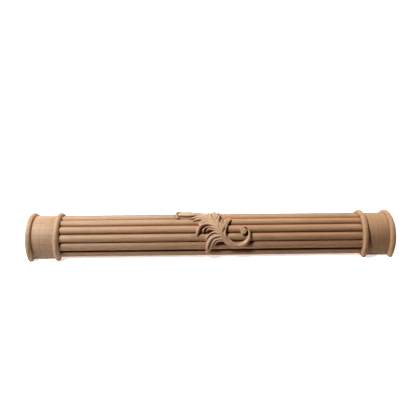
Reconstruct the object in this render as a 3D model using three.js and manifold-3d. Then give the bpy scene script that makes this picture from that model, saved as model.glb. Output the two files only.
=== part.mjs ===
import * as THREE from 'three';
import { mergeVertices } from 'three/addons/utils/BufferGeometryUtils.js';
import Module from 'manifold-3d';

// Half-round column carved from one blank of beech, lying on its flat back.
// X runs along the column, Y across it and Z up from the back. The origin is the middle of the back.
// Lengths are millimetres. Angles round the column are degrees, 0 at the near edge (-Y), 90 on top.

// Driving dimensions
const columnLength = 700;
const neckRadius = 45;
const neckLength = 40.4;
const beadWidth = 11.2;
const beadProjection = 6;
const reedCount = 8;
const reedDepth = 4;
const leafLength = 141;
const leafRise = 5.8;
const leafSeatDepth = 2;
const leafSeatFlare = 1.1;

// Fineness of the curved faces
const turnedSides = 60;
const beadSteps = 8;
const reedSteps = 8;
const bladeStepLength = 6;
const stemStepsPerPoint = 2;
const ribbonStepsPerPoint = 1;
const tipSteps = 2;
const sectionSides = [1, 0.55, 0, -0.55, -1];
const eyeSides = 16;
const eyeRings = 10;

// Places worked out from the driving dimensions
const beadRadius = neckRadius + beadProjection;
const valleyRadius = neckRadius - reedDepth;
const seatRadius = valleyRadius - leafSeatDepth;
const innerBeadCentre = columnLength / 2 - 1.5 * beadWidth - neckLength;
const outerBeadCentre = columnLength / 2 - 0.5 * beadWidth;

// The leaf is drawn on the column's developed surface, on a grid of 145 steps along the column
// and one degree round it. Widths are in the same steps, and rises are shares of leafRise.
const leafGridSteps = 145;
const leafStep = leafLength / leafGridSteps;

// The stem swings from the broad leaf down to the scroll and winds in on itself. Each point of it
// is the place along, the place around, the width and the rise. Lean lowers its inner edge.
const stem = {
  crown: 0.5,
  lean: -0.15,
  points: [
    [-27, 123, 11, 0.45],
    [-12, 115, 16, 0.8],
    [3, 96, 17, 0.95],
    [13, 75, 17, 1],
    [23, 57, 15, 1],
    [35, 42, 13, 0.95],
    [50, 36, 12, 0.9],
    [63, 41, 10.5, 0.9],
    [71, 52, 8, 0.9],
    [73, 65, 6.2, 0.85],
    [70, 76, 4.6, 0.8],
    [64.5, 80, 4.8, 0.8],
    [59, 76.5, 6.4, 0.9],
    [58.5, 68, 6.8, 0.9],
    [63.5, 64, 5, 0.7],
  ],
};
const scrollEye = { along: 63, around: 72.5, radius: 5, rise: 1 };

// Ribbons are lobes that wind through points, given like the stem's.
const ribbonCrown = 0.45;
const ribbons = [
  // lobes hooked back towards the near edge, the lowest group
  [
    [18, 59, 6, 0.9], [9, 57.8, 6.8, 0.92], [3, 55.8, 7.4, 0.95], [-2, 51, 8, 0.95],
    [-4.7, 45, 9.4, 0.95], [-5.3, 38, 11.5, 0.95], [-6.3, 30, 12.4, 0.85], [-6.7, 22, 11, 0.7],
    [-6.5, 14, 7.5, 0.4],
  ],
  [
    [18, 63, 4.5, 0.8], [12, 66, 4.5, 0.85], [5, 67.3, 5, 0.88], [0, 66.3, 5.2, 0.88],
    [-4.5, 63.2, 5.4, 0.85], [-8, 59, 5.4, 0.8], [-10.3, 54.5, 5, 0.65], [-11.3, 50.5, 3.5, 0.4],
  ],
  [
    [28, 48, 4, 0.8], [20, 51.3, 4.5, 0.85], [12, 50.5, 4.8, 0.8], [6, 47.5, 5, 0.75],
    [3.5, 42, 5, 0.65], [2.5, 36, 4.5, 0.55], [3, 30, 3, 0.35],
  ],
  [
    [28, 45, 3.5, 0.75], [20, 47.5, 4, 0.75], [14, 46.8, 4.2, 0.65], [9, 44, 4.2, 0.6],
    [7, 39, 4, 0.5], [6.5, 33, 2.5, 0.3],
  ],
  // lobes of the middle hook
  [
    [8, 80, 5, 0.85], [-1, 85.5, 5.8, 0.92], [-7, 87.2, 6, 0.95], [-13.5, 87, 6.2, 1],
    [-19, 84.8, 6.6, 1], [-23.5, 80.3, 7.2, 1], [-26.5, 74.5, 7.6, 0.9], [-28, 67.5, 7, 0.7],
    [-29, 62, 4, 0.4],
  ],
  [
    [12, 74, 4, 0.85], [3, 78, 4.6, 0.88], [-4, 80, 4.8, 0.88], [-10, 79.8, 4.8, 0.85],
    [-14, 77.3, 4.8, 0.8], [-16.2, 73, 4.2, 0.65], [-16.8, 69, 3, 0.45],
  ],
  [
    [14, 69.5, 4, 0.8], [3, 73.5, 4.4, 0.75], [-3, 75.3, 4.5, 0.7], [-7, 74.8, 4.2, 0.6],
    [-9.5, 72.5, 3.5, 0.5], [-10, 69.5, 2.5, 0.4],
  ],
];

// Each blade is an arc from its root to its tip. turn is the angle the arc turns through,
// left positive. width and rise are given at the root, at the belly and at the tip, and belly
// is the belly's share of the way. hollow sinks the middle of the section, and a negative hollow
// crowns it.
const ridge = { hollow: -0.35, belly: 0.55 };
const blades = [
  // sheet of the leaf that the lobes spring from, and the floor of the scroll
  {
    ...ridge, root: [10, 84], tip: [-25, 119], turn: 30,
    width: [16, 26, 12], rise: [0.85, 0.72, 0.4], hollow: -0.2,
  },
  {
    ...ridge, root: [-2, 112], tip: [-23, 143], turn: -15,
    width: [10, 14, 12], rise: [0.7, 0.45, 0.25], hollow: 0.1,
  },
  { ...ridge, root: [0, 101], tip: [-14, 101], turn: 0, width: [14, 15, 13], rise: [0.75, 0.6, 0.3] },
  { ...ridge, root: [0, 90], tip: [-20, 89], turn: 10, width: [8, 9, 6], rise: [0.7, 0.45, 0.3] },
  { ...ridge, root: [13, 73], tip: [0, 70], turn: 10, width: [8, 10, 8], rise: [0.9, 0.65, 0.4] },
  { ...ridge, root: [5, 98], tip: [13, 117], turn: -10, width: [8, 8, 6], rise: [0.7, 0.5, 0.35] },
  { ...ridge, root: [60, 71.5], tip: [64, 71.5], turn: 0, width: [13, 13, 13], rise: [0.72, 0.72, 0.72] },
  // fingers above the middle hook
  {
    ...ridge, root: [0, 94.5], tip: [-25.5, 92.5], turn: 22,
    width: [5, 7.2, 4], rise: [0.75, 0.85, 0.35], hollow: -0.45,
  },
  {
    ...ridge, root: [-4, 102.5], tip: [-35, 100.5], turn: 35,
    width: [5, 7.5, 4], rise: [0.7, 0.82, 0.35], hollow: -0.45,
  },
  {
    ...ridge, root: [-6, 110], tip: [-41, 106.5], turn: 30,
    width: [5, 7.5, 4], rise: [0.65, 0.82, 0.4], hollow: -0.45,
  },
  {
    ...ridge, root: [-6, 116], tip: [-47, 119], turn: 34,
    width: [5, 6.2, 4], rise: [0.6, 0.75, 0.5], hollow: -0.45,
  },
  // broad leaf, its rolled lip and the lobes beyond it
  {
    ...ridge, root: [-18, 121], tip: [-59, 131.5], turn: 20,
    width: [7, 24, 24], rise: [0.65, 0.6, 0.6], hollow: 0.45, belly: 0.85,
  },
  {
    ...ridge, root: [-58.5, 147], tip: [-66, 110], turn: 100,
    width: [3, 5.8, 5], rise: [0.75, 1, 0.7], hollow: -0.6,
  },
  {
    ...ridge, root: [-22, 123], tip: [-60, 147], turn: 32,
    width: [3, 4.2, 3.4], rise: [0.5, 0.8, 0.78], hollow: -0.5,
  },
  {
    ...ridge, root: [-24, 127], tip: [-51, 153.5], turn: -10,
    width: [6, 12, 9], rise: [0.4, 0.65, 0.45], belly: 0.75,
  },
  { ...ridge, root: [-16, 126], tip: [-38.5, 168], turn: -35, width: [6, 11, 4], rise: [0.4, 0.65, 0.3] },
  { ...ridge, root: [-12, 124], tip: [-28.5, 156], turn: -30, width: [6, 7, 3], rise: [0.4, 0.6, 0.3] },
  // upright lobes towards the far edge
  {
    ...ridge, root: [-2, 112], tip: [-9.5, 131], turn: 10,
    width: [4, 4.4, 3], rise: [0.7, 0.7, 0.5], hollow: -0.5,
  },
  {
    ...ridge, root: [1, 104], tip: [-5, 146], turn: -12,
    width: [4.5, 5.4, 3.6], rise: [0.85, 0.85, 0.4], hollow: -0.5,
  },
  {
    ...ridge, root: [5.5, 90], tip: [8.7, 162], turn: -14,
    width: [7, 12.8, 5], rise: [0.85, 0.88, 0.35], hollow: -0.45, belly: 0.6,
  },
  {
    ...ridge, root: [6, 103], tip: [16, 129], turn: -20,
    width: [4, 6, 3.6], rise: [0.75, 0.8, 0.5], hollow: -0.5,
  },
  {
    ...ridge, root: [7, 98], tip: [16.5, 119.5], turn: -22,
    width: [4, 6, 3.6], rise: [0.75, 0.75, 0.5], hollow: -0.5,
  },
  {
    ...ridge, root: [12, 82], tip: [16, 113], turn: -20,
    width: [5, 6, 3.6], rise: [0.85, 0.85, 0.5], hollow: -0.5,
  },
  // lobes curled towards the scroll
  {
    ...ridge, root: [18, 66], tip: [35.5, 98.5], turn: -75,
    width: [6, 15, 7], rise: [0.9, 1, 0.55], hollow: -0.25, belly: 0.7,
  },
  {
    ...ridge, root: [14.5, 76], tip: [25.5, 105.5], turn: -38,
    width: [3.5, 5.6, 3], rise: [0.85, 0.95, 0.5], hollow: -0.5,
  },
  {
    ...ridge, root: [31, 49], tip: [30.5, 84], turn: -80,
    width: [4.5, 5.4, 3], rise: [0.85, 1, 0.8], hollow: -0.5,
  },
];

const wasm = await Module();
wasm.setup();

function solidFrom(geometry) {
  const bare = geometry.clone();
  bare.deleteAttribute('normal');
  bare.deleteAttribute('uv');
  const merged = mergeVertices(bare, 1e-4);
  return new wasm.Manifold(new wasm.Mesh({
    numProp: 3,
    vertProperties: new Float32Array(merged.getAttribute('position').array),
    triVerts: new Uint32Array(merged.index.array),
  }));
}

function geometryFrom(solid) {
  const mesh = solid.getMesh();
  const geometry = new THREE.BufferGeometry();
  geometry.setAttribute('position', new THREE.BufferAttribute(mesh.vertProperties, 3));
  geometry.setIndex(new THREE.BufferAttribute(mesh.triVerts, 1));
  geometry.computeVertexNormals();
  return geometry;
}

function pointOnColumn(along, aroundRadians, radius) {
  return new THREE.Vector3(along, -radius * Math.cos(aroundRadians), radius * Math.sin(aroundRadians));
}

// Upper half of everything that is turned: the two necks and the core, with a bead each side of
// each neck.
function turnedSolid() {
  const profile = [new THREE.Vector2(0, -columnLength / 2)];
  const beadCentres = [-outerBeadCentre, -innerBeadCentre, innerBeadCentre, outerBeadCentre];
  beadCentres.forEach((centre, bead) => {
    for (let step = 0; step <= beadSteps; step += 1) {
      const swing = Math.PI * (1 - step / beadSteps);
      const height = centre + 0.5 * beadWidth * Math.cos(swing);
      profile.push(new THREE.Vector2(neckRadius + beadProjection * Math.sin(swing), height));
    }
    if (bead === 1) {
      profile.push(new THREE.Vector2(seatRadius, centre + 0.5 * beadWidth));
      profile.push(new THREE.Vector2(seatRadius, -centre - 0.5 * beadWidth));
    }
  });
  profile.push(new THREE.Vector2(0, columnLength / 2));
  const turned = new THREE.LatheGeometry(profile, turnedSides).rotateZ(-Math.PI / 2);
  const reach = 2 * beadRadius;
  const upperHalf = new THREE.BoxGeometry(2 * columnLength, 2 * reach, reach).translate(0, 0, reach / 2);
  return solidFrom(turned).intersect(solidFrom(upperHalf));
}

// Reeded shaft between the inner beads: half-round reeds side by side, flat behind.
function reededShaft() {
  const halfReed = Math.PI / reedCount / 2;
  const halfChord = valleyRadius * Math.sin(halfReed);
  const reedHeight = neckRadius - valleyRadius * Math.cos(halfReed);
  const reedRadius = (halfChord ** 2 + reedHeight ** 2) / (2 * reedHeight);
  const halfSweep = Math.asin(halfChord / reedRadius);
  const outline = new THREE.Shape();
  outline.moveTo(valleyRadius, 0);
  for (let reed = 0; reed < reedCount; reed += 1) {
    const crest = (2 * reed + 1) * halfReed;
    const centre = neckRadius - reedRadius;
    outline.absarc(
      centre * Math.cos(crest), centre * Math.sin(crest), reedRadius,
      crest - halfSweep, crest + halfSweep, false,
    );
  }
  outline.closePath();
  const shaftLength = 2 * innerBeadCentre;
  const extruded = new THREE.ExtrudeGeometry(outline, {
    depth: shaftLength, bevelEnabled: false, curveSegments: reedSteps, steps: 1,
  });
  extruded.translate(0, 0, -shaftLength / 2);
  const layAlongX = new THREE.Matrix4().makeBasis(
    new THREE.Vector3(0, 1, 0), new THREE.Vector3(0, 0, 1), new THREE.Vector3(1, 0, 0),
  );
  return solidFrom(extruded.applyMatrix4(layAlongX));
}

// Closed body through stations along a blade. Each station has its place and heading on the
// developed surface, its width and rise, and the section's hollow and lean. Lean raises the left
// edge over the right.
function carvedStrip(stations) {
  const ringSize = sectionSides.length + 2;
  const positions = [];
  stations.forEach((station) => {
    const place = (side, radius) => {
      const shift = side * station.width / 2;
      const along = station.along - shift * Math.sin(station.heading);
      const around = (station.arc + shift * Math.cos(station.heading)) / neckRadius;
      positions.push(...pointOnColumn(along, around, radius).toArray());
    };
    place(leafSeatFlare, seatRadius);
    sectionSides.forEach((side) => {
      const middle = 1 - side * side;
      const sink = station.hollow > 0 ? station.hollow * middle : -station.hollow * side * side;
      const rise = leafRise * station.rise * (1 - sink + station.lean * side);
      place(side, neckRadius + Math.min(rise, leafRise));
    });
    place(-leafSeatFlare, seatRadius);
  });
  const index = [];
  const last = stations.length - 1;
  for (let station = 0; station < last; station += 1) {
    for (let corner = 0; corner < ringSize; corner += 1) {
      const a = station * ringSize + corner;
      const b = station * ringSize + (corner + 1) % ringSize;
      const c = b + ringSize;
      const d = a + ringSize;
      index.push(a, b, c, a, c, d);
    }
  }
  for (let corner = 1; corner < ringSize - 1; corner += 1) {
    index.push(0, corner + 1, corner);
    index.push(last * ringSize, last * ringSize + corner, last * ringSize + corner + 1);
  }
  const geometry = new THREE.BufferGeometry();
  geometry.setAttribute('position', new THREE.Float32BufferAttribute(positions, 3));
  geometry.setIndex(index);
  return solidFrom(geometry);
}

// Value that swells from the root to the belly and falls to the tip along quarter waves.
function swell([atRoot, atBelly, atTip], belly, share) {
  if (share < belly) return atRoot + (atBelly - atRoot) * Math.sin(0.5 * Math.PI * share / belly);
  return atTip + (atBelly - atTip) * Math.cos(0.5 * Math.PI * (share - belly) / (1 - belly));
}

// Stations that round the tip off past the last one given.
function roundedTip(last) {
  const stations = [];
  for (let step = 1; step <= tipSteps; step += 1) {
    const swing = 0.5 * Math.PI * step / (tipSteps + 0.4);
    const reach = 0.5 * last.width * Math.sin(swing);
    stations.push({
      ...last,
      along: last.along + reach * Math.cos(last.heading),
      arc: last.arc + reach * Math.sin(last.heading),
      width: last.width * Math.cos(swing),
    });
  }
  return stations;
}

function bladeSolid({ root, tip, turn, width, rise, hollow, belly }) {
  const [rootAlong, rootArc] = [root[0] * leafStep, THREE.MathUtils.degToRad(root[1]) * neckRadius];
  const [tipAlong, tipArc] = [tip[0] * leafStep, THREE.MathUtils.degToRad(tip[1]) * neckRadius];
  const chord = Math.hypot(tipAlong - rootAlong, tipArc - rootArc);
  const sweep = THREE.MathUtils.degToRad(turn);
  const firstHeading = Math.atan2(tipArc - rootArc, tipAlong - rootAlong) - sweep / 2;
  const steps = Math.ceil(chord / bladeStepLength);
  const stations = [];
  for (let step = 0; step <= steps; step += 1) {
    const share = step / steps;
    const heading = firstHeading + sweep * share;
    // the straight run from the root to this point of the arc
    const run = sweep === 0 ? chord * share : chord * Math.sin(sweep * share / 2) / Math.sin(sweep / 2);
    const runHeading = firstHeading + sweep * share / 2;
    stations.push({
      along: rootAlong + run * Math.cos(runHeading),
      arc: rootArc + run * Math.sin(runHeading),
      heading,
      width: leafStep * swell(width, belly, share),
      rise: swell(rise, belly, share),
      hollow,
      lean: 0,
    });
  }
  return carvedStrip([...stations, ...roundedTip(stations[steps])]);
}

// Strip that winds through points, each of them along, around, width and rise.
function ribbonSolid(points, stepsPerPoint, crown, lean = 0) {
  const route = new THREE.SplineCurve(points.map(
    ([along, around]) => new THREE.Vector2(along * leafStep, THREE.MathUtils.degToRad(around) * neckRadius),
  ));
  const sizes = new THREE.SplineCurve(points.map(
    ([, , width, rise]) => new THREE.Vector2(width * leafStep, rise),
  ));
  const steps = stepsPerPoint * (points.length - 1);
  const stations = [];
  for (let step = 0; step <= steps; step += 1) {
    const place = route.getPoint(step / steps);
    const tangent = route.getTangent(step / steps);
    const size = sizes.getPoint(step / steps);
    stations.push({
      along: place.x,
      arc: place.y,
      heading: Math.atan2(tangent.y, tangent.x),
      width: size.x,
      rise: size.y,
      hollow: -crown,
      lean,
    });
  }
  return carvedStrip([...stations, ...roundedTip(stations[steps])]);
}

function scrollEyeSolid() {
  const eyeRadius = scrollEye.radius * leafStep;
  const eyeHeight = leafRise * scrollEye.rise + reedDepth;
  const around = THREE.MathUtils.degToRad(scrollEye.around);
  const eye = new THREE.SphereGeometry(eyeRadius, eyeSides, eyeRings);
  eye.scale(1, 1, eyeHeight / eyeRadius);
  eye.rotateX(Math.PI / 2 - around);
  const centre = pointOnColumn(scrollEye.along * leafStep, around, valleyRadius);
  return solidFrom(eye.translate(centre.x, centre.y, centre.z));
}

const leafSolids = [
  ribbonSolid(stem.points, stemStepsPerPoint, stem.crown, stem.lean),
  scrollEyeSolid(),
  ...ribbons.map((points) => ribbonSolid(points, ribbonStepsPerPoint, ribbonCrown)),
  ...blades.map(bladeSolid),
];
const columnSolid = leafSolids.reduce(
  (column, leaf) => column.add(leaf),
  turnedSolid().add(reededShaft()),
);

const beech = new THREE.MeshStandardMaterial({ color: 0xc9a27c, roughness: 0.75, metalness: 0 });
const column = new THREE.Mesh(geometryFrom(columnSolid), beech);
column.name = 'half_round_column';

const halfRoundColumn = new THREE.Group();
halfRoundColumn.add(column);

export default halfRoundColumn;
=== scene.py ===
"""Half-round column in beech: turned necks and beads, a reeded shaft and a carved acanthus leaf."""

import math

import bpy
import numpy as np
from mathutils import Matrix, Vector


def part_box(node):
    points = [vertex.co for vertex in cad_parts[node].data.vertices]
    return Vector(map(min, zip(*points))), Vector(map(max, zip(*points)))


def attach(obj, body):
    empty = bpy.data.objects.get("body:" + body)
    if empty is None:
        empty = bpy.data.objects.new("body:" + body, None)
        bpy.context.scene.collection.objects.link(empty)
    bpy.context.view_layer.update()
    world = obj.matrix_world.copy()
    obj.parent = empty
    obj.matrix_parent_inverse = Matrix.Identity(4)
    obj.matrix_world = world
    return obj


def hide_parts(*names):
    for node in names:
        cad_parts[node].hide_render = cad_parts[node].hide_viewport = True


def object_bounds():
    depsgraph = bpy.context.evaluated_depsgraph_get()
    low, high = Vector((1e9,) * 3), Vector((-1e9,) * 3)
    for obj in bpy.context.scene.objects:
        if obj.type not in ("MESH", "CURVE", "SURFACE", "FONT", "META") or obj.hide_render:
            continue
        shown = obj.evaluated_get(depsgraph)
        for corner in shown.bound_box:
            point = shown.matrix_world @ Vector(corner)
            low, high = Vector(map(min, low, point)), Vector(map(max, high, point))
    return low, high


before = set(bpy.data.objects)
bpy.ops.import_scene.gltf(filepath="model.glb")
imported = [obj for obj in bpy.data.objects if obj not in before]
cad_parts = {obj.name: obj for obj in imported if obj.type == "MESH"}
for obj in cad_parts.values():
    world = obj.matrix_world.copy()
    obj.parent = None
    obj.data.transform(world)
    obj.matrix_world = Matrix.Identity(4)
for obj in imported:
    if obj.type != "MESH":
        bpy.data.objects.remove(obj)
cad_low, cad_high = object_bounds()

MM = 0.001

# Driving sizes of the column. Its length and its radius over the beads come from the frame.
NODE = "half_round_column"
node_low, node_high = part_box(NODE)
COLUMN_LENGTH = node_high.x - node_low.x
BEAD_RADIUS = node_high.z
BEAD_PROJECTION = 6 * MM
BEAD_WIDTH = 11.2 * MM
NECK_LENGTH = 40.4 * MM
NECK_RADIUS = BEAD_RADIUS - BEAD_PROJECTION
REED_COUNT = 8
REED_DEPTH = 4 * MM
VALLEY_RADIUS = NECK_RADIUS - REED_DEPTH
INNER_BEAD_CENTRE = COLUMN_LENGTH / 2 - 1.5 * BEAD_WIDTH - NECK_LENGTH
OUTER_BEAD_CENTRE = COLUMN_LENGTH / 2 - 0.5 * BEAD_WIDTH

# Fineness of the turned and reeded faces, and the angle in degrees past which an edge looks sharp
TURNED_SIDES = 240
BEAD_SIDES = 32
REED_SIDES = 72
SHARP_ANGLE = 38

# The leaf is drawn on the column's developed surface, on a grid of 145 steps along the column
# and one degree round it, 0 degrees at the near edge and 90 on top.
LEAF_LENGTH = 141 * MM
LEAF_STEP = LEAF_LENGTH / 145
LEAF_RISE = 5.8 * MM
LEAF_FROM = -76 * LEAF_STEP
LEAF_TO = 80 * LEAF_STEP
LEAF_FROM_DEGREE = 4
LEAF_TO_DEGREE = 177

# The board that the leaf is carved from: the spacing of its points, its depth while it is flat, and
# the radii of its back and of its face round the leaf, which both lie inside the shaft. The leaf's
# top stays just under the beads.
CARVING_PITCH = 0.33 * MM
BOARD_DEPTH = 1.0
BOARD_BACK_RADIUS = 30 * MM
SEAT_RADIUS = VALLEY_RADIUS - 1.5 * MM
LEAF_TOP_RADIUS = BEAD_RADIUS - 0.1 * MM

# Form of every lobe. Its outline is true at one radius, where its steep wall passes. The shoulder
# rounds the wall's upper edge, and the crease the valley where two lobes meet. Behind its root the
# top falls by the root slope. A high roundness keeps its middle flat and drops its edges. Its flutes
# reach their depth after the given share of its length.
OUTLINE_RADIUS = 45 * MM
WALL_SLOPE = 9.0
ROOT_SLOPE = 0.6
SHOULDER = 1.1 * MM
CREASE = 0.35 * MM
LOBE_ROUNDNESS = 1.6
FLUTE_START = 0.25

# The undercut of a wall as deep as the second size, and how far from the wall it is looked for
UNDERCUT = 1.1 * MM
UNDERCUT_DEPTH = 6 * MM
UNDERCUT_REACH = 1.3 * MM

# The scroll's eye, a dome: along, around, radius in grid steps, and share of the rise
SCROLL_EYE = (63, 72, 4.2, 1.0)


def blade(root, tip, turn, width, rise, belly=0.55, hollow=-0.35, flutes=0, gouge=0.0):
    """One lobe: an arc from root to tip that turns left by turn degrees, with its width in grid steps
    and its share of the rise at the root, belly and tip. hollow sinks its middle when it is positive,
    and its edges when it is negative. flutes are channels along it, each gouge of its rise deep."""
    return {
        "root": root,
        "tip": tip,
        "turn": turn,
        "width": width,
        "rise": rise,
        "belly": belly,
        "hollow": hollow,
        "lean": 0,
        "flutes": flutes,
        "gouge": gouge,
        "fluted_to": 1,
        "roundness": LOBE_ROUNDNESS,
    }


def ribbon(points, hollow=-0.45, lean=0.0, flutes=0, gouge=0.0, fluted_to=1, roundness=LOBE_ROUNDNESS):
    """One winding lobe through points, each along, around, width and share of the rise. lean lifts its
    left edge and lowers its right one, or the other way round when it is negative. fluted_to is how
    far the channels reach across it from its right edge at -1, with its left edge at 1."""
    return {
        "points": points,
        "hollow": hollow,
        "lean": lean,
        "flutes": flutes,
        "gouge": gouge,
        "fluted_to": fluted_to,
        "roundness": roundness,
    }


# The stem swings from the broad leaf down to the scroll, which winds in on itself.
STEM = ribbon([
    (-27, 123, 11, 0.45),
    (-12, 115, 16, 0.80),
    (3, 96, 17, 0.95),
    (13, 75, 17, 1.00),
    (23, 57, 15, 1.00),
    (35, 42, 13, 0.95),
    (50, 36, 12, 0.90),
    (63, 41, 10.5, 0.90),
    (71, 52, 8, 0.90),
    (73, 65, 6.2, 0.85),
    (70, 76, 4.6, 0.80),
    (64.5, 79.5, 4.6, 0.80),
    (58.8, 76.5, 5.4, 0.88),
    (57.6, 69, 5.8, 0.90),
    (61, 64.2, 5.6, 0.85),
    (64.5, 65.5, 5, 0.78),
], hollow=-0.6, lean=-0.22, flutes=6, gouge=0.05, fluted_to=0, roundness=1.1)

# Low sheets that close the gaps between the lobes, the last but two of them under the scroll's eye
LEAF_SHEET = [
    blade((10, 84), (-25, 119), 30, (16, 26, 12), (0.85, 0.72, 0.40), hollow=-0.2, flutes=6, gouge=0.05),
    blade((-2, 112), (-23, 143), -15, (10, 14, 12), (0.70, 0.45, 0.25), hollow=0.1),
    blade((0, 101), (-19, 99), 0, (14, 12, 7), (0.75, 0.60, 0.30)),
    blade((0, 90), (-24, 89.5), 10, (8, 9, 5), (0.70, 0.45, 0.20)),
    blade((13, 73), (4, 71), 10, (8, 9, 6), (0.85, 0.60, 0.30)),
    blade((5, 98), (13, 117), -10, (8, 8, 6), (0.70, 0.50, 0.35)),
    blade((60.5, 70.8), (62, 70.8), 0, (12, 12, 12), (0.80, 0.80, 0.80), hollow=-0.1),
    ribbon([
        (16, 62.5, 6, 0.60), (3, 61.5, 7, 0.55), (-4, 57, 7, 0.50), (-8, 51, 6, 0.45),
        (-10, 45, 5, 0.30),
    ]),
    ribbon([
        (16, 54, 5, 0.60), (5, 52, 6, 0.55), (-1.5, 44, 7, 0.50), (-4.5, 34, 7, 0.45),
        (-6.5, 22, 6, 0.30),
    ]),
]

# Lobes that hook down to the near edge
LOW_HOOK = [
    ribbon([
        (18, 59.5, 6, 0.85), (9, 58.5, 6.4, 0.92), (3, 56.5, 6.8, 0.95), (-2, 52.7, 7, 0.98),
        (-5.8, 46, 7.4, 0.98), (-7.8, 39, 8, 0.95), (-8.9, 32, 8, 0.85), (-9, 24, 7.4, 0.70),
        (-8.3, 15, 5.5, 0.40),
    ]),
    ribbon([
        (18, 63, 4.5, 0.80), (12, 66, 4.5, 0.85), (5, 67.3, 5, 0.88), (0, 66.3, 5.2, 0.88),
        (-4.5, 63, 5.4, 0.85), (-8, 58.8, 5.4, 0.80), (-10.5, 54, 5, 0.65), (-11.3, 50.5, 3.5, 0.40),
    ]),
    ribbon([
        (28, 49.5, 4, 0.80), (20, 52, 4.6, 0.85), (12, 52, 5, 0.85), (6, 50, 5.4, 0.85),
        (2.3, 45.5, 5.6, 0.80), (0.2, 39, 6, 0.75), (-2, 32.5, 6, 0.68), (-4.2, 26, 5.5, 0.55),
        (-6, 19, 4, 0.40),
    ]),
    ribbon([
        (28, 46.5, 4, 0.75), (20, 48, 4.4, 0.78), (14, 47.8, 4.6, 0.72), (9.5, 46, 4.8, 0.68),
        (6, 42, 4.8, 0.60), (4.2, 36.5, 4.5, 0.50), (4, 31, 3, 0.35),
    ]),
]

# Lobes that hook down beside the fingers
MIDDLE_HOOK = [
    ribbon([
        (8, 80, 5, 0.85), (-1, 85.5, 5.8, 0.92), (-7, 87.2, 6, 0.95), (-13.5, 87, 6.2, 1.0),
        (-19, 84.8, 6.6, 1.0), (-23.5, 80.3, 7.2, 1.0), (-26.5, 74.5, 7.6, 0.90),
        (-28, 67.5, 7, 0.70), (-29, 62, 4, 0.40),
    ]),
    ribbon([
        (12, 74, 4, 0.85), (3, 78, 4.6, 0.88), (-4, 80, 4.8, 0.88), (-10, 79.8, 4.8, 0.85),
        (-14, 77.3, 4.8, 0.80), (-16.2, 73, 4.2, 0.65), (-16.8, 69, 3, 0.45),
    ]),
    ribbon([
        (14, 69.5, 4, 0.80), (3, 73.5, 4.4, 0.75), (-3, 75.3, 4.5, 0.70), (-7, 74.8, 4.2, 0.60),
        (-9.5, 72.5, 3.5, 0.50), (-10, 69.5, 2.5, 0.40),
    ]),
]

# Four fingers that lie along the column
FINGERS = [
    blade((0, 95), (-25.5, 93), 20, (5, 6.4, 3.4), (0.70, 0.75, 0.12), hollow=-0.45),
    blade((-4, 102.5), (-35, 100.5), 35, (5, 7.5, 4), (0.70, 0.82, 0.35), hollow=-0.45),
    blade((-6, 110), (-41, 106.5), 30, (5, 7.5, 4), (0.65, 0.82, 0.40), hollow=-0.45),
    blade((-6, 116), (-47, 119), 34, (5, 6.2, 4), (0.60, 0.75, 0.50), hollow=-0.45),
]

# The broad leaf, its rolled lip, its rib, and the fluted lobes beyond it
BROAD_LEAF = [
    blade((-18, 121), (-59, 131.5), 20, (7, 24, 24), (0.65, 0.60, 0.60), belly=0.85, hollow=0.45),
    blade((-58.5, 147), (-66, 110), 100, (3, 5.8, 5), (0.75, 1.0, 0.70), hollow=-0.6),
    blade((-22, 123), (-60, 147), 32, (3, 4.2, 3.4), (0.50, 0.80, 0.78), hollow=-0.5),
    blade((-24, 127), (-51, 153.5), -10, (6, 12, 9), (0.40, 0.65, 0.45), belly=0.75,
          flutes=3, gouge=0.16),
    blade((-16, 126), (-38.5, 168), -35, (6, 11, 4), (0.40, 0.65, 0.30), flutes=2, gouge=0.14),
    blade((-12, 124), (-28.5, 156), -30, (6, 7, 3), (0.40, 0.60, 0.30), flutes=1, gouge=0.1),
]

# Lobes that stand up towards the far edge
UPRIGHT_LOBES = [
    blade((-2, 112), (-9.5, 131), 10, (4, 4.4, 3), (0.70, 0.70, 0.50), hollow=-0.5),
    blade((1, 104), (-5, 146), -12, (4.5, 5.4, 3.6), (0.85, 0.85, 0.40), hollow=-0.5),
    blade((5.5, 90), (8.7, 162), -14, (7, 12.8, 5), (0.85, 0.88, 0.35), belly=0.6, hollow=-0.45),
    blade((6, 103), (16, 129), -20, (4, 6, 4), (0.80, 0.95, 0.70), hollow=-0.5),
    blade((7, 98), (16.5, 119.5), -22, (4, 6, 4), (0.80, 0.95, 0.75), hollow=-0.5),
    blade((12, 82), (16, 112), -20, (5, 6, 4), (0.85, 1.0, 0.80), hollow=-0.5),
]

# Lobes curled towards the scroll: the fluted fan and the strips at both sides of it
CURLED_LOBES = [
    blade((18, 66), (34.5, 100.5), -75, (6, 16, 9), (0.90, 1.0, 0.70), belly=0.7, hollow=-0.25,
          flutes=4, gouge=0.12),
    blade((14.5, 76), (25.5, 105.5), -38, (3.5, 5.6, 3), (0.85, 0.95, 0.50), hollow=-0.5),
    blade((31, 49), (30.5, 84), -80, (4.5, 5, 3), (0.85, 1.0, 0.80), hollow=-0.5),
]

LOBES = (LEAF_SHEET + LOW_HOOK + MIDDLE_HOOK + FINGERS + BROAD_LEAF + UPRIGHT_LOBES + CURLED_LOBES
         + [STEM])

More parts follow.
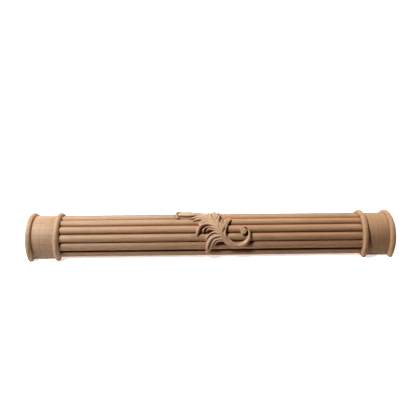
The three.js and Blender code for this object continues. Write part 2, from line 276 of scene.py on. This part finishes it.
# V-shaped cuts between the lobes, deepest where they are widest. Each is its depth and the points
# along, around and width.
GROOVES = [
    (2.4 * MM, [(0, 128, 3), (1.5, 114, 3), (4, 102, 2.8), (7.5, 91, 2.4), (12, 79, 0.6)]),
    (3.0 * MM, [(-10, 121, 0.8), (-7.5, 115.5, 3.4), (-4, 109, 0.8)]),
    (1.4 * MM, [(-48, 121.5, 0.8), (-34, 124, 2.6), (-24, 122.5, 2.4), (-10, 116, 0.6)]),
    (1.2 * MM, [(-26, 97.5, 2), (-14, 98.8, 2.2), (0, 97, 2), (8, 88, 0.6)]),
    (1.2 * MM, [(-30, 106.5, 1.6), (-12, 106.8, 2.2), (2, 100, 0.6)]),
    (1.2 * MM, [(-30, 114, 2), (-14, 113, 2.4), (0, 105, 0.6)]),
    (1.0 * MM, [(10, 96, 0.8), (14, 82, 2.2), (19, 68, 2.2), (27, 53, 1.8), (38, 43, 0.5)]),
    (3.0 * MM, [(18.5, 78, 0.8), (21.5, 90, 3), (25, 99, 4), (29, 106, 1.6)]),
]


# Helpers for modelling

def deselect_all():
    """Leave no object selected."""
    bpy.ops.object.select_all(action="DESELECT")


def pick(piece):
    """Select one piece alone and make it active."""
    deselect_all()
    piece.select_set(True)
    bpy.context.view_layer.objects.active = piece


def set_place(piece):
    """Put the piece's place, turn and scale into its mesh."""
    pick(piece)
    bpy.ops.object.transform_apply(location=True, rotation=True, scale=True)


def combine(base, other, operation):
    """Apply a boolean of other to base; other is used up."""
    pick(base)
    boolean = base.modifiers.new("boolean", "BOOLEAN")
    boolean.operation = operation
    boolean.solver = "MANIFOLD"
    boolean.object = other
    bpy.ops.object.modifier_apply(modifier=boolean.name)
    bpy.data.objects.remove(other)


def join_solids(base, others):
    """Unite the others with base, which stays."""
    for other in others:
        combine(base, other, "UNION")
    return base


def lying_cylinder(name, sides, radius, length, place):
    """Cylinder along the column."""
    bpy.ops.mesh.primitive_cylinder_add(
        vertices=sides, radius=radius, depth=length, location=place, rotation=(0, math.pi / 2, 0))
    piece = bpy.context.object
    piece.name = name
    set_place(piece)
    return piece


# The turned ends

def turned_end(side):
    """Neck with a bead at each end of it, on the side -1 or 1."""
    middle = side * (INNER_BEAD_CENTRE + OUTER_BEAD_CENTRE) / 2
    length = NECK_LENGTH + 2 * BEAD_WIDTH
    neck = lying_cylinder("neck", TURNED_SIDES, NECK_RADIUS, length, (middle, 0, 0))
    beads = []
    for centre in (INNER_BEAD_CENTRE, OUTER_BEAD_CENTRE):
        bpy.ops.mesh.primitive_torus_add(
            major_segments=TURNED_SIDES, minor_segments=BEAD_SIDES,
            major_radius=NECK_RADIUS, minor_radius=BEAD_PROJECTION,
            location=(side * centre, 0, 0), rotation=(0, math.pi / 2, 0))
        bead = bpy.context.object
        bead.scale.z = 0.5 * BEAD_WIDTH / BEAD_PROJECTION
        set_place(bead)
        beads.append(bead)
    return join_solids(neck, beads)


# The reeded shaft

def reeded_shaft():
    """Core with reeds all round, each an arc from valley to valley through the neck's radius."""
    half_reed = math.pi / REED_COUNT / 2
    half_chord = VALLEY_RADIUS * math.sin(half_reed)
    reed_height = NECK_RADIUS - VALLEY_RADIUS * math.cos(half_reed)
    reed_radius = (half_chord ** 2 + reed_height ** 2) / (2 * reed_height)
    shaft_length = 2 * INNER_BEAD_CENTRE
    core_radius = VALLEY_RADIUS - 1 * MM
    core = lying_cylinder("shaft", TURNED_SIDES, core_radius, shaft_length, (0, 0, 0))
    reeds = []
    for reed in range(REED_COUNT):
        crest = (2 * reed + 1) * half_reed
        reach = NECK_RADIUS - reed_radius
        place = (0, -reach * math.cos(crest), reach * math.sin(crest))
        reeds.append(lying_cylinder("reed", REED_SIDES, reed_radius, shaft_length, place))
    return join_solids(core, reeds)


# The carved leaf

def swell(values, belly, share):
    """Value that swells from the root to the belly and falls to the tip along quarter waves."""
    at_root, at_belly, at_tip = values
    to_belly = np.minimum(share / belly, 1)
    past_belly = np.maximum((share - belly) / (1 - belly), 0)
    rising = at_root + (at_belly - at_root) * np.sin(0.5 * np.pi * to_belly)
    falling = at_tip + (at_belly - at_tip) * np.cos(0.5 * np.pi * past_belly)
    return np.where(share < belly, rising, falling)


def developed(along, around):
    """Place in metres on the developed surface of a grid point."""
    return np.array([along * LEAF_STEP, math.radians(around) * NECK_RADIUS])


def blade_path(lobe, samples=60):
    """Stations along a blade: place, heading, width, rise and share of the way."""
    root = developed(*lobe["root"])
    tip = developed(*lobe["tip"])
    chord = tip - root
    sweep = math.radians(lobe["turn"])
    first_heading = math.atan2(chord[1], chord[0]) - sweep / 2
    share = np.linspace(0, 1, samples)
    if sweep:
        run = np.hypot(*chord) * np.sin(sweep * share / 2) / math.sin(sweep / 2)
    else:
        run = np.hypot(*chord) * share
    run_heading = first_heading + sweep * share / 2
    place = root + np.stack([run * np.cos(run_heading), run * np.sin(run_heading)], axis=1)
    return {
        "place": place,
        "heading": first_heading + sweep * share,
        "width": swell(lobe["width"], lobe["belly"], share) * LEAF_STEP,
        "rise": swell(lobe["rise"], lobe["belly"], share) * LEAF_RISE,
        "share": share,
    }


def smooth_curve(points, per_point=16):
    """Catmull-Rom curve through the rows of points."""
    rows = np.array(points, float)
    padded = np.vstack([2 * rows[0] - rows[1], rows, 2 * rows[-1] - rows[-2]])
    curve = []
    for a, b, c, d in zip(padded, padded[1:], padded[2:], padded[3:]):
        for t in np.linspace(0, 1, per_point, endpoint=False):
            curve.append(0.5 * (2 * b + (c - a) * t + (2 * a - 5 * b + 4 * c - d) * t ** 2
                                + (3 * b - a - 3 * c + d) * t ** 3))
    curve.append(rows[-1])
    return np.array(curve)


def developed_curve(curve):
    """Places in metres on the developed surface of a curve of grid points."""
    return np.stack([curve[:, 0] * LEAF_STEP, np.radians(curve[:, 1]) * NECK_RADIUS], axis=1)


def ribbon_path(points):
    """Stations along a ribbon: place, heading, width, rise and share of the way."""
    curve = smooth_curve(points)
    place = developed_curve(curve)
    tangent = np.gradient(place, axis=0)
    return {
        "place": place,
        "heading": np.arctan2(tangent[:, 1], tangent[:, 0]),
        "width": curve[:, 2] * LEAF_STEP,
        "rise": curve[:, 3] * LEAF_RISE,
        "share": np.linspace(0, 1, len(curve)),
    }


def smooth_least(a, b, blend):
    """Smaller of a and b, rounded where they differ by less than blend."""
    mix = np.clip(0.5 + 0.5 * (b - a) / blend, 0, 1)
    return b + (a - b) * mix - blend * mix * (1 - mix)


def smooth_most(a, b, blend):
    """Larger of a and b, rounded where they differ by less than blend."""
    return -smooth_least(-a, -b, blend)


def strip_radius(points, path, lobe):
    """Radius of the carved lobe over each point of the developed surface."""
    gap = points[:, None, :] - path["place"][None, :, :]
    nearest = np.argmin((gap ** 2).sum(axis=2), axis=1)
    offset = gap[np.arange(len(points)), nearest]
    heading = path["heading"][nearest]
    forward = offset[:, 0] * np.cos(heading) + offset[:, 1] * np.sin(heading)
    sideways = -offset[:, 0] * np.sin(heading) + offset[:, 1] * np.cos(heading)
    last = len(path["place"]) - 1
    before_root = (nearest == 0) & (forward < 0)
    past_tip = (nearest == last) & (forward > 0)
    past_end = np.where(before_root | past_tip, forward, 0)
    half_width = path["width"][nearest] / 2
    inside = half_width - np.hypot(sideways, past_end)
    side = np.clip(sideways / half_width, -1, 1)
    share = path["share"][nearest]
    if lobe["hollow"] > 0:
        sink = lobe["hollow"] * (1 - side ** 2)
    else:
        sink = -lobe["hollow"] * np.abs(side) ** lobe["roundness"]
    channel = lobe["gouge"] * np.abs(np.sin(0.5 * np.pi * lobe["flutes"] * (side + 1)))
    channel *= np.clip(share / FLUTE_START, 0, 1)
    channel *= side < lobe["fluted_to"]
    top = NECK_RADIUS + path["rise"][nearest] * (1 - sink + lobe["lean"] * side - channel)
    top += ROOT_SLOPE * np.where(nearest == 0, np.minimum(forward, 0), 0)
    wall = OUTLINE_RADIUS + WALL_SLOPE * inside
    return smooth_least(top, wall, SHOULDER)


def carved_radius(points):
    """Radius of the whole leaf over each point, and the seat's radius where there is no leaf."""
    radius = np.full(len(points), SEAT_RADIUS)
    for lobe in LOBES:
        path = ribbon_path(lobe["points"]) if "points" in lobe else blade_path(lobe)
        # The wall falls to the seat well within 2 mm of the outline
        reach = path["width"].max() / 2 + 2 * MM
        low = path["place"].min(axis=0) - reach
        high = path["place"].max(axis=0) + reach
        near = np.all((points > low) & (points < high), axis=1)
        radius[near] = smooth_most(radius[near], strip_radius(points[near], path, lobe), CREASE)
    along, around, eye_radius, rise = SCROLL_EYE
    from_eye = np.hypot(*(points - developed(along, around)).T) / (eye_radius * LEAF_STEP)
    dome_height = NECK_RADIUS + rise * LEAF_RISE - OUTLINE_RADIUS
    dome = OUTLINE_RADIUS + dome_height * np.sqrt(np.clip(1 - from_eye ** 2, 0, 1))
    near = from_eye < 1
    radius[near] = smooth_most(radius[near], dome[near], CREASE)
    for depth, points_along in GROOVES:
        curve = smooth_curve(points_along)
        gap = points[:, None, :] - developed_curve(curve)[None, :, :]
        distance = np.hypot(*np.moveaxis(gap, 2, 0))
        nearest = np.argmin(distance, axis=1)
        off_middle = distance[np.arange(len(points)), nearest] / (0.5 * LEAF_STEP * curve[nearest, 2])
        depth_here = depth * curve[nearest, 2] / curve[:, 2].max()
        cut = radius - depth_here * np.clip(1 - off_middle, 0, 1)
        radius = np.where(radius > OUTLINE_RADIUS, np.maximum(cut, OUTLINE_RADIUS), radius)
    return np.minimum(radius, LEAF_TOP_RADIUS)


def neighbours(field):
    """The field itself and its copies shifted by one point to each of the four sides."""
    padded = np.pad(field, 1, mode="edge")
    return [padded[1:-1, 1:-1], padded[:-2, 1:-1], padded[2:, 1:-1], padded[1:-1, :-2], padded[1:-1, 2:]]


def near_most(field, steps):
    """Largest value within so many points."""
    for _ in range(steps):
        field = np.max(neighbours(field), axis=0)
    return field


def softened(field, steps):
    """Mean of each point and its neighbours, taken so many times."""
    for _ in range(steps):
        field = sum(neighbours(field)) / 5
    return field


def undercut(radius, pitch):
    """Shift along and around, which tucks the foot of each wall in under its lobe."""
    steps = round(UNDERCUT_REACH / pitch)
    depth = near_most(radius, steps) - radius
    slope_around, slope_along = np.gradient(softened(radius, 2 * steps), pitch)
    steepness = np.hypot(slope_along, slope_around)
    amount = UNDERCUT * np.clip(depth / UNDERCUT_DEPTH, 0, 1) * np.clip(steepness, 0, 1)
    steepness = np.maximum(steepness, 1e-6)
    return amount * slope_along / steepness, amount * slope_around / steepness


def carved_leaf():
    """A board bent round the column, with the leaf carved into its face."""
    low_arc = math.radians(LEAF_FROM_DEGREE) * NECK_RADIUS
    high_arc = math.radians(LEAF_TO_DEGREE) * NECK_RADIUS
    width = high_arc - low_arc
    length = LEAF_TO - LEAF_FROM
    columns = round(length / CARVING_PITCH)
    rows = round(width / CARVING_PITCH)
    bpy.ops.mesh.primitive_grid_add(
        x_subdivisions=columns, y_subdivisions=rows,
        size=1, location=((LEAF_FROM + LEAF_TO) / 2, (low_arc + high_arc) / 2, 0))
    leaf = bpy.context.object
    leaf.name = "leaf"
    leaf.scale = (length, width, 1)
    set_place(leaf)
    bpy.ops.object.mode_set(mode="EDIT")
    bpy.ops.mesh.select_all(action="SELECT")
    bpy.ops.mesh.extrude_region_move(TRANSFORM_OT_translate={"value": (0, 0, -BOARD_DEPTH)})
    bpy.ops.mesh.select_all(action="SELECT")
    bpy.ops.mesh.normals_make_consistent(inside=False)
    bpy.ops.object.mode_set(mode="OBJECT")

    along = np.linspace(LEAF_FROM, LEAF_TO, columns + 1)
    around = np.linspace(low_arc, high_arc, rows + 1)
    lattice = np.stack(np.meshgrid(along, around), axis=-1).reshape(-1, 2)
    relief = softened(carved_radius(lattice).reshape(rows + 1, columns + 1), 1)
    shift_along, shift_around = undercut(relief, CARVING_PITCH)

    places = np.empty(3 * len(leaf.data.vertices), np.float32)
    leaf.data.vertices.foreach_get("co", places)
    places = places.reshape(-1, 3).astype(float)
    face = places[:, 2] > -BOARD_DEPTH / 2
    place_along = np.rint((places[:, 0] - LEAF_FROM) / length * columns).astype(int)
    place_around = np.rint((places[:, 1] - low_arc) / width * rows).astype(int)
    here = (place_around, place_along)
    radius = np.where(face, relief[here], BOARD_BACK_RADIUS)
    places[:, 0] += np.where(face, shift_along[here], 0)
    places[:, 1] += np.where(face, shift_around[here], 0)
    angle = places[:, 1] / NECK_RADIUS
    bent = np.stack([places[:, 0], -radius * np.cos(angle), radius * np.sin(angle)], axis=1)
    leaf.data.vertices.foreach_set("co", bent.astype(np.float32).ravel())
    leaf.data.update()
    return leaf


# The column in one piece

def half_round_column():
    """All parts united as a whole round, with its lower half sawn off."""
    column = join_solids(turned_end(-1), [reeded_shaft(), turned_end(1), carved_leaf()])
    bpy.ops.mesh.primitive_cube_add(size=1, location=(0, 0, -BEAD_RADIUS))
    lower_half = bpy.context.object
    lower_half.scale = (2 * COLUMN_LENGTH, 4 * BEAD_RADIUS, 2 * BEAD_RADIUS)
    set_place(lower_half)
    combine(column, lower_half, "DIFFERENCE")
    pick(column)
    bpy.ops.object.shade_smooth_by_angle(angle=math.radians(SHARP_ANGLE))
    column.name = "carved_column"
    column.data.name = "carved_column"
    return column


# Materials. A grain says how many times a pattern changes in a metre along X, Y and Z.
STREAK_GRAIN = (6, 380, 380)
FINE_STREAK_GRAIN = (24, 1500, 1500)
FLECK_GRAIN = (240, 1700, 1700)
BLOTCH_GRAIN = (9, 22, 22)
TURNING_GRAIN = (700, 6, 6)
GRIT_GRAIN = (500, 500, 500)
DARK_STREAK = (0.428, 0.288, 0.196, 1)
PALE_STREAK = (0.502, 0.344, 0.240, 1)

# Shades that the wood's colour is multiplied by, the share of the fine streaks that turning leaves on
# the ends, and how much stronger the beads' grit is in the bump than the streaks are
FINE_STREAK_SHADE = (0.88, 0.85, 0.82)
FLECK_SHADE = (0.72, 0.62, 0.55)
BLOTCH_SHADE = (0.94, 0.90, 0.86)
RUDDY_SHADE = (0.98, 0.92, 0.87)
UNRAISED_SHADE = (0.91, 0.89, 0.87)
# Painted shade: this tint darkens and reddens the reed valleys and the carving's low places
PAINTED_HOLLOW_SHADE = (0.76, 0.56, 0.43)
TURNING_SHADE = (0.80, 0.76, 0.71)
FINE_STREAKS_LEFT_BY_TURNING = 0.3
BEAD_GRIT = 5


class Recipe:
    """Short ways to add and join the nodes of one material."""

    def __init__(self, name):
        self.material = bpy.data.materials.new(name)
        self.material.use_nodes = True
        self.tree = self.material.node_tree
        self.shader = self.tree.nodes["Principled BSDF"]
        self.place = self.tree.nodes.new("ShaderNodeTexCoord").outputs["Object"]

    def join(self, source, socket):
        """Link an output to an input."""
        self.tree.links.new(source, socket)

    def noise(self, grain, detail=4, roughness=0.6):
        """Noise from 0 to 1."""
        mapping = self.tree.nodes.new("ShaderNodeMapping")
        mapping.inputs["Scale"].default_value = grain
        self.join(self.place, mapping.inputs["Vector"])
        noise = self.tree.nodes.new("ShaderNodeTexNoise")
        noise.inputs["Scale"].default_value = 1
        noise.inputs["Detail"].default_value = detail
        noise.inputs["Roughness"].default_value = roughness
        self.join(mapping.outputs["Vector"], noise.inputs["Vector"])
        return noise.outputs["Fac"]

    def spread(self, value, low, high, at_low=0.0, at_high=1.0):
        """Value that goes from at_low to at_high as the given one goes from low to high."""
        remap = self.tree.nodes.new("ShaderNodeMapRange")
        self.join(value, remap.inputs["Value"])
        remap.inputs["From Min"].default_value = low
        remap.inputs["From Max"].default_value = high
        remap.inputs["To Min"].default_value = at_low
        remap.inputs["To Max"].default_value = at_high
        return remap.outputs["Result"]

    def sum_up(self, operation, first, second):
        """Arithmetic on two values, each an output or a number."""
        node = self.tree.nodes.new("ShaderNodeMath")
        node.operation = operation
        for socket, value in zip(node.inputs, (first, second)):
            if isinstance(value, (int, float)):
                socket.default_value = value
            else:
                self.join(value, socket)
        return node.outputs["Value"]

    def tint(self, colour, amount, shade):
        """Colour multiplied by shade, as far as amount says."""
        mix = self.tree.nodes.new("ShaderNodeMix")
        mix.data_type = "RGBA"
        mix.blend_type = "MULTIPLY"
        self.join(amount, mix.inputs["Factor"])
        self.join(colour, mix.inputs["A"])
        mix.inputs["B"].default_value = (*shade, 1)
        return mix.outputs["Result"]


def beech():
    """Pale beech: long streaks, short flecks, reddish painted shade in the low places of the reeds and
    the carving, and turning marks on the ends.
    """
    wood = Recipe("beech")
    wood.shader.inputs["Roughness"].default_value = 0.62
    wood.shader.inputs["Specular IOR Level"].default_value = 0.35

    parts = wood.tree.nodes.new("ShaderNodeSeparateXYZ")
    wood.join(wood.place, parts.inputs["Vector"])
    across = wood.sum_up("MULTIPLY", parts.outputs["Y"], parts.outputs["Y"])
    upward = wood.sum_up("MULTIPLY", parts.outputs["Z"], parts.outputs["Z"])
    from_axis = wood.sum_up("SQRT", wood.sum_up("ADD", across, upward), 0)
    from_middle = wood.sum_up("ABSOLUTE", parts.outputs["X"], 0)
    shaft_end = INNER_BEAD_CENTRE - 0.5 * BEAD_WIDTH
    turned = wood.spread(from_middle, shaft_end, shaft_end + 1 * MM)

    streaks = wood.noise(STREAK_GRAIN, detail=4)
    tone = wood.tree.nodes.new("ShaderNodeValToRGB")
    dark_end, pale_end = tone.color_ramp.elements
    dark_end.position = 0.3
    dark_end.color = DARK_STREAK
    pale_end.position = 0.7
    pale_end.color = PALE_STREAK
    wood.join(streaks, tone.inputs["Fac"])
    colour = tone.outputs["Color"]

    fine_streaks = wood.noise(FINE_STREAK_GRAIN, detail=2)
    fine_share = wood.spread(turned, 0, 1, 1, FINE_STREAKS_LEFT_BY_TURNING)
    fine_amount = wood.sum_up("MULTIPLY", fine_share, wood.spread(fine_streaks, 0.45, 0.7))
    colour = wood.tint(colour, fine_amount, FINE_STREAK_SHADE)
    flecks = wood.noise(FLECK_GRAIN, detail=1)
    colour = wood.tint(colour, wood.spread(flecks, 0.62, 0.70), FLECK_SHADE)
    blotches = wood.noise(BLOTCH_GRAIN, detail=2)
    colour = wood.tint(colour, wood.spread(blotches, 0.45, 0.75), BLOTCH_SHADE)
    ruddiness = wood.spread(parts.outputs["X"], -0.25, 0.30)
    colour = wood.tint(colour, ruddiness, RUDDY_SHADE)

    unraised = wood.spread(from_axis, NECK_RADIUS + 3.5 * MM, NECK_RADIUS)
    colour = wood.tint(colour, unraised, UNRAISED_SHADE)
    on_shaft = wood.spread(turned, 0, 1, 1, 0)
    above_sawn_faces = wood.spread(from_axis, VALLEY_RADIUS - 4 * MM, VALLEY_RADIUS - 1 * MM)
    carved = wood.sum_up("MULTIPLY", on_shaft, above_sawn_faces)
    # Painted shade: darker and redder towards the valley radius on the reeds and in the carving
    low = wood.spread(from_axis, VALLEY_RADIUS + 3.2 * MM, VALLEY_RADIUS)
    painted_hollow_shade = wood.sum_up("MULTIPLY", carved, low)
    colour = wood.tint(colour, painted_hollow_shade, PAINTED_HOLLOW_SHADE)
    turning = wood.noise(TURNING_GRAIN, detail=4)
    turning_marks = wood.sum_up("MULTIPLY", turned, wood.spread(turning, 0.5, 0.68))
    colour = wood.tint(colour, turning_marks, TURNING_SHADE)
    wood.join(colour, wood.shader.inputs["Base Color"])

    grit = wood.noise(GRIT_GRAIN, detail=2)
    beaded = wood.spread(from_axis, NECK_RADIUS + 0.8 * MM, NECK_RADIUS + 2 * MM)
    bead_grit = wood.sum_up("MULTIPLY", wood.sum_up("MULTIPLY", turned, beaded), grit)
    relief = wood.sum_up("ADD", fine_streaks, wood.sum_up("MULTIPLY", turned, turning))
    relief = wood.sum_up("ADD", relief, wood.sum_up("MULTIPLY", bead_grit, BEAD_GRIT))
    bump = wood.tree.nodes.new("ShaderNodeBump")
    bump.inputs["Strength"].default_value = 0.35
    bump.inputs["Distance"].default_value = 0.15 * MM
    wood.join(relief, bump.inputs["Height"])
    wood.join(bump.outputs["Normal"], wood.shader.inputs["Normal"])
    return wood.material


def floor_finish():
    """Matt white that glows a little, so that shadows on it stay pale."""
    material = bpy.data.materials.new("floor_finish")
    material.use_nodes = True
    shader = material.node_tree.nodes["Principled BSDF"]
    shader.inputs["Base Color"].default_value = (0.93, 0.93, 0.93, 1)
    shader.inputs["Roughness"].default_value = 0.9
    shader.inputs["Emission Color"].default_value = (1, 1, 1, 1)
    shader.inputs["Emission Strength"].default_value = 0.4
    return material


# Floor, light and camera

def floor():
    """Plain floor under the column."""
    bpy.ops.mesh.primitive_plane_add(size=12, location=(0, 0, cad_low.z))
    plane = bpy.context.object
    plane.name = "floor"
    plane.data.materials.append(floor_finish())


def soft_light(name, bearing, height, distance, size, energy, colour=(1, 1, 1)):
    """Round lamp aimed at the column's middle. bearing and height are degrees, bearing from +X to +Y."""
    lamp = bpy.data.lights.new(name, "AREA")
    lamp.shape = "DISK"
    lamp.size = size
    lamp.energy = energy
    lamp.color = colour
    holder = bpy.data.objects.new(name, lamp)
    bpy.context.collection.objects.link(holder)
    level = math.cos(math.radians(height))
    direction = Vector((
        level * math.cos(math.radians(bearing)),
        level * math.sin(math.radians(bearing)),
        math.sin(math.radians(height)),
    ))
    holder.location = distance * direction
    holder.rotation_euler = (-direction).to_track_quat("-Z", "Y").to_euler()


def studio():
    """Dim white world, a high key lamp from the left, a warm one behind and a faint fill in front."""
    world = bpy.data.worlds.new("studio")
    bpy.context.scene.world = world
    world.use_nodes = True
    backdrop = world.node_tree.nodes["Background"]
    backdrop.inputs["Color"].default_value = (1, 1, 1, 1)
    backdrop.inputs["Strength"].default_value = 0.02
    soft_light("key", bearing=158, height=56, distance=2, size=0.3, energy=40.5,
               colour=(0.89, 1, 1.08))
    soft_light("far_rim", bearing=45, height=30, distance=1.8, size=0.8, energy=11,
               colour=(0.98, 0.98, 0.90))
    soft_light("near_fill", bearing=225, height=20, distance=1.8, size=0.8, energy=0.5,
               colour=(0.92, 1, 1.06))
    bpy.context.scene.view_settings.view_transform = "Standard"
    bpy.context.scene.view_settings.look = "Very High Contrast"


# The photograph's camera, found by fitting a pinhole camera to the column's rings and reeds. Its turns
# are in radians, and its shift in pixels.
CAMERA_PLACE = (-0.02931, -0.51361, 0.82441)
CAMERA_YAW = -0.0421
CAMERA_PITCH = 0.9558
CAMERA_ROLL = 0.0243
CAMERA_SHIFT = 0.5
PICTURE_WIDTH = 416
FOCAL_PIXELS = 491.2
SENSOR_WIDTH = 36


def camera():
    """The photograph's view of the column."""
    lens = bpy.data.cameras.new("camera")
    lens.sensor_width = SENSOR_WIDTH
    lens.lens = SENSOR_WIDTH * FOCAL_PIXELS / PICTURE_WIDTH
    lens.shift_y = CAMERA_SHIFT / PICTURE_WIDTH
    view = bpy.data.objects.new("camera", lens)
    bpy.context.collection.objects.link(view)
    yaw = Matrix.Rotation(CAMERA_YAW, 4, "Z")
    pitch = Matrix.Rotation(math.pi / 2 - CAMERA_PITCH, 4, "X")
    roll = Matrix.Rotation(CAMERA_ROLL, 4, "Z")
    view.matrix_world = Matrix.Translation(CAMERA_PLACE) @ yaw @ pitch @ roll
    bpy.context.scene.camera = view


camera()
studio()
floor()
column = half_round_column()
column.data.materials.clear()
column.data.materials.append(beech())
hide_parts(NODE)
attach(column, "root")
